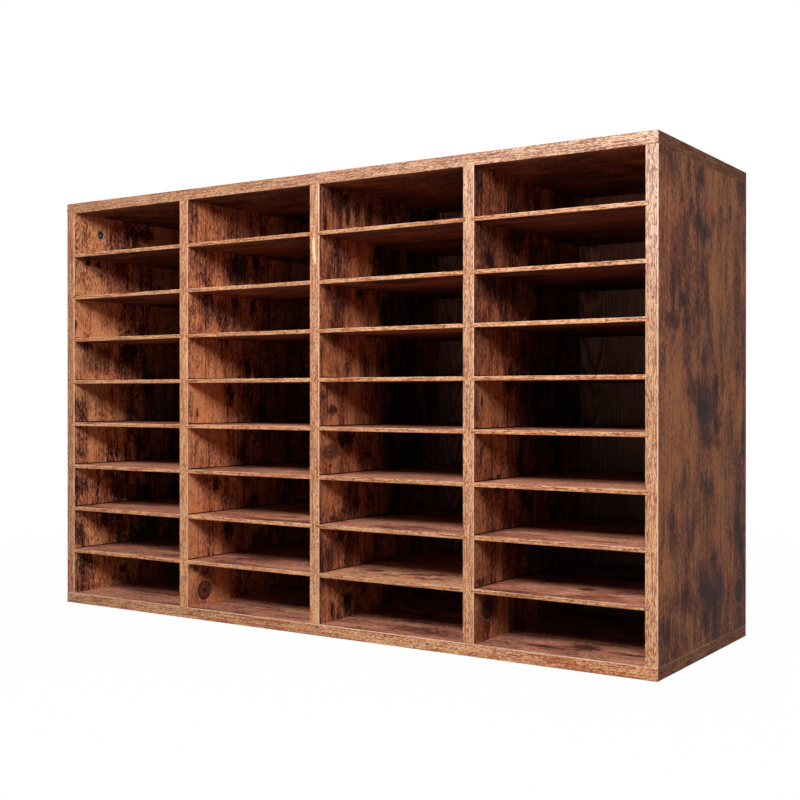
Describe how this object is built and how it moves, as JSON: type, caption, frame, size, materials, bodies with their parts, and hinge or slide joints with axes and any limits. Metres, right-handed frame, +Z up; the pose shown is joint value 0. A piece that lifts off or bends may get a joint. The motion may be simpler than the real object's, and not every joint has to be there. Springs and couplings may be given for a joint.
{
  "type": "pigeonhole mail sorter",
  "caption": "Open-fronted wooden mail sorter with columns of shallow compartments and loose shelves that slide out of grooves.",
  "frame": {"origin": "middle of the underside, at the height of the surface that the sorter stands on", "axes": "+X along the width to the right of a person facing it, -Y out of the open front, +Z up"},
  "size_m": [1, 0.325, 0.64],
  "materials": {
    "board_laminate": "satin rustic brown wood-grain laminate",
    "shelf_laminate": "satin rustic brown wood-grain laminate",
    "back_board": "satin brown wood-grain laminate",
    "edge_band": "satin lighter brown edge band",
    "cam_zinc": "dull dark die-cast zinc",
    "plated_steel": "zinc-plated steel",
    "beech": "raw beech"
  },
  "bodies": {
    "carcass": {"top_panel": "board_laminate", "bottom_panel": "board_laminate", "left_side": "board_laminate", "divider_1": "board_laminate", "divider_2": "board_laminate", "divider_3": "board_laminate", "right_side": "board_laminate", "top_front_band": "edge_band", "bottom_front_band": "edge_band", "top_end_bands": "edge_band", "bottom_end_bands": "edge_band", "left_side_front_band": "edge_band", "divider_1_front_band": "edge_band", "divider_2_front_band": "edge_band", "divider_3_front_band": "edge_band", "right_side_front_band": "edge_band", "back_panel_c1": "back_board", "back_panel_c2": "back_board", "back_panel_c3": "back_board", "back_panel_c4": "back_board", "cam_nuts": "cam_zinc", "cam_bolts": "plated_steel", "wooden_dowels": "beech", "bottom_screws": "plated_steel"},
    "shelf_c1_r1": {"shelf_c1_r1": "shelf_laminate"},
    "shelf_c1_r2": {"shelf_c1_r2": "shelf_laminate"},
    "shelf_c1_r3": {"shelf_c1_r3": "shelf_laminate"},
    "shelf_c1_r4": {"shelf_c1_r4": "shelf_laminate"},
    "shelf_c1_r5": {"shelf_c1_r5": "shelf_laminate"},
    "shelf_c1_r6": {"shelf_c1_r6": "shelf_laminate"},
    "shelf_c1_r7": {"shelf_c1_r7": "shelf_laminate"},
    "shelf_c1_r8": {"shelf_c1_r8": "shelf_laminate"},
    "shelf_c2_r1": {"shelf_c2_r1": "shelf_laminate"},
    "shelf_c2_r2": {"shelf_c2_r2": "shelf_laminate"},
    "shelf_c2_r3": {"shelf_c2_r3": "shelf_laminate"},
    "shelf_c2_r4": {"shelf_c2_r4": "shelf_laminate"},
    "shelf_c2_r5": {"shelf_c2_r5": "shelf_laminate"},
    "shelf_c2_r6": {"shelf_c2_r6": "shelf_laminate"},
    "shelf_c2_r7": {"shelf_c2_r7": "shelf_laminate"},
    "shelf_c2_r8": {"shelf_c2_r8": "shelf_laminate"},
    "shelf_c3_r1": {"shelf_c3_r1": "shelf_laminate"},
    "shelf_c3_r2": {"shelf_c3_r2": "shelf_laminate"},
    "shelf_c3_r3": {"shelf_c3_r3": "shelf_laminate"},
    "shelf_c3_r4": {"shelf_c3_r4": "shelf_laminate"},
    "shelf_c3_r5": {"shelf_c3_r5": "shelf_laminate"},
    "shelf_c3_r6": {"shelf_c3_r6": "shelf_laminate"},
    "shelf_c3_r7": {"shelf_c3_r7": "shelf_laminate"},
    "shelf_c3_r8": {"shelf_c3_r8": "shelf_laminate"},
    "shelf_c4_r1": {"shelf_c4_r1": "shelf_laminate"},
    "shelf_c4_r2": {"shelf_c4_r2": "shelf_laminate"},
    "shelf_c4_r3": {"shelf_c4_r3": "shelf_laminate"},
    "shelf_c4_r4": {"shelf_c4_r4": "shelf_laminate"},
    "shelf_c4_r5": {"shelf_c4_r5": "shelf_laminate"},
    "shelf_c4_r6": {"shelf_c4_r6": "shelf_laminate"},
    "shelf_c4_r7": {"shelf_c4_r7": "shelf_laminate"},
    "shelf_c4_r8": {"shelf_c4_r8": "shelf_laminate"}
  },
  "joints": [
    {"name": "shelf_c1_r1_slide", "type": "slide", "parent": "carcass", "child": "shelf_c1_r1", "axis": [0, -1, 0], "range_m": [0, 0.3]},
    {"name": "shelf_c1_r2_slide", "type": "slide", "parent": "carcass", "child": "shelf_c1_r2", "axis": [0, -1, 0], "range_m": [0, 0.3]},
    {"name": "shelf_c1_r3_slide", "type": "slide", "parent": "carcass", "child": "shelf_c1_r3", "axis": [0, -1, 0], "range_m": [0, 0.3]},
    {"name": "shelf_c1_r4_slide", "type": "slide", "parent": "carcass", "child": "shelf_c1_r4", "axis": [0, -1, 0], "range_m": [0, 0.3]},
    {"name": "shelf_c1_r5_slide", "type": "slide", "parent": "carcass", "child": "shelf_c1_r5", "axis": [0, -1, 0], "range_m": [0, 0.3]},
    {"name": "shelf_c1_r6_slide", "type": "slide", "parent": "carcass", "child": "shelf_c1_r6", "axis": [0, -1, 0], "range_m": [0, 0.3]},
    {"name": "shelf_c1_r7_slide", "type": "slide", "parent": "carcass", "child": "shelf_c1_r7", "axis": [0, -1, 0], "range_m": [0, 0.3]},
    {"name": "shelf_c1_r8_slide", "type": "slide", "parent": "carcass", "child": "shelf_c1_r8", "axis": [0, -1, 0], "range_m": [0, 0.3]},
    {"name": "shelf_c2_r1_slide", "type": "slide", "parent": "carcass", "child": "shelf_c2_r1", "axis": [0, -1, 0], "range_m": [0, 0.3]},
    {"name": "shelf_c2_r2_slide", "type": "slide", "parent": "carcass", "child": "shelf_c2_r2", "axis": [0, -1, 0], "range_m": [0, 0.3]},
    {"name": "shelf_c2_r3_slide", "type": "slide", "parent": "carcass", "child": "shelf_c2_r3", "axis": [0, -1, 0], "range_m": [0, 0.3]},
    {"name": "shelf_c2_r4_slide", "type": "slide", "parent": "carcass", "child": "shelf_c2_r4", "axis": [0, -1, 0], "range_m": [0, 0.3]},
    {"name": "shelf_c2_r5_slide", "type": "slide", "parent": "carcass", "child": "shelf_c2_r5", "axis": [0, -1, 0], "range_m": [0, 0.3]},
    {"name": "shelf_c2_r6_slide", "type": "slide", "parent": "carcass", "child": "shelf_c2_r6", "axis": [0, -1, 0], "range_m": [0, 0.3]},
    {"name": "shelf_c2_r7_slide", "type": "slide", "parent": "carcass", "child": "shelf_c2_r7", "axis": [0, -1, 0], "range_m": [0, 0.3]},
    {"name": "shelf_c2_r8_slide", "type": "slide", "parent": "carcass", "child": "shelf_c2_r8", "axis": [0, -1, 0], "range_m": [0, 0.3]},
    {"name": "shelf_c3_r1_slide", "type": "slide", "parent": "carcass", "child": "shelf_c3_r1", "axis": [0, -1, 0], "range_m": [0, 0.3]},
    {"name": "shelf_c3_r2_slide", "type": "slide", "parent": "carcass", "child": "shelf_c3_r2", "axis": [0, -1, 0], "range_m": [0, 0.3]},
    {"name": "shelf_c3_r3_slide", "type": "slide", "parent": "carcass", "child": "shelf_c3_r3", "axis": [0, -1, 0], "range_m": [0, 0.3]},
    {"name": "shelf_c3_r4_slide", "type": "slide", "parent": "carcass", "child": "shelf_c3_r4", "axis": [0, -1, 0], "range_m": [0, 0.3]},
    {"name": "shelf_c3_r5_slide", "type": "slide", "parent": "carcass", "child": "shelf_c3_r5", "axis": [0, -1, 0], "range_m": [0, 0.3]},
    {"name": "shelf_c3_r6_slide", "type": "slide", "parent": "carcass", "child": "shelf_c3_r6", "axis": [0, -1, 0], "range_m": [0, 0.3]},
    {"name": "shelf_c3_r7_slide", "type": "slide", "parent": "carcass", "child": "shelf_c3_r7", "axis": [0, -1, 0], "range_m": [0, 0.3]},
    {"name": "shelf_c3_r8_slide", "type": "slide", "parent": "carcass", "child": "shelf_c3_r8", "axis": [0, -1, 0], "range_m": [0, 0.3]},
    {"name": "shelf_c4_r1_slide", "type": "slide", "parent": "carcass", "child": "shelf_c4_r1", "axis": [0, -1, 0], "range_m": [0, 0.3]},
    {"name": "shelf_c4_r2_slide", "type": "slide", "parent": "carcass", "child": "shelf_c4_r2", "axis": [0, -1, 0], "range_m": [0, 0.3]},
    {"name": "shelf_c4_r3_slide", "type": "slide", "parent": "carcass", "child": "shelf_c4_r3", "axis": [0, -1, 0], "range_m": [0, 0.3]},
    {"name": "shelf_c4_r4_slide", "type": "slide", "parent": "carcass", "child": "shelf_c4_r4", "axis": [0, -1, 0], "range_m": [0, 0.3]},
    {"name": "shelf_c4_r5_slide", "type": "slide", "parent": "carcass", "child": "shelf_c4_r5", "axis": [0, -1, 0], "range_m": [0, 0.3]},
    {"name": "shelf_c4_r6_slide", "type": "slide", "parent": "carcass", "child": "shelf_c4_r6", "axis": [0, -1, 0], "range_m": [0, 0.3]},
    {"name": "shelf_c4_r7_slide", "type": "slide", "parent": "carcass", "child": "shelf_c4_r7", "axis": [0, -1, 0], "range_m": [0, 0.3]},
    {"name": "shelf_c4_r8_slide", "type": "slide", "parent": "carcass", "child": "shelf_c4_r8", "axis": [0, -1, 0], "range_m": [0, 0.3]}
  ]
}
